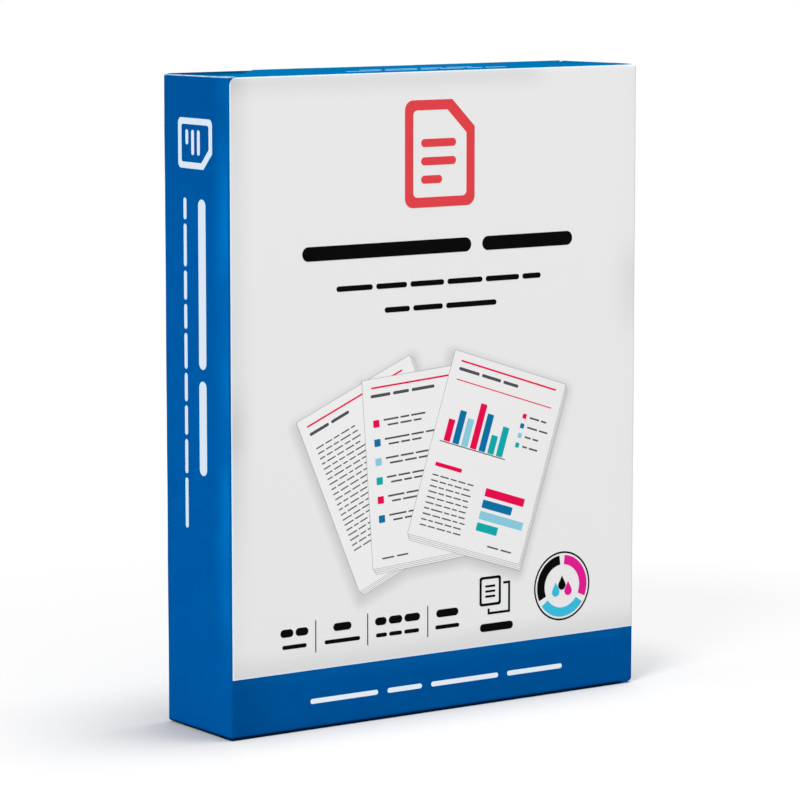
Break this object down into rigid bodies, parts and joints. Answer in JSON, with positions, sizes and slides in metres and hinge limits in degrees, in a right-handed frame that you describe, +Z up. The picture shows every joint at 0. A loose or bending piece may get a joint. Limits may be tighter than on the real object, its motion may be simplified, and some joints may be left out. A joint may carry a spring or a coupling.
{
  "type": "ream of paper",
  "caption": "Sealed ream of office paper in a printed wrap, with envelope-folded ends and a glued seam down the back.",
  "frame": {"origin": "middle of the bottom end, on the surface that the pack stands on", "axes": "+Z up along the pack's long side, -Y out of the printed front, +Y out of the back with its seam, -X out of the long edge that the picture shows"},
  "size_m": [0.218, 0.0514, 0.2821],
  "materials": {
    "printed_wrap": "satin"
  },
  "bodies": {
    "root": {"wrapped_ream": "printed_wrap"}
  },
  "joints": []
}
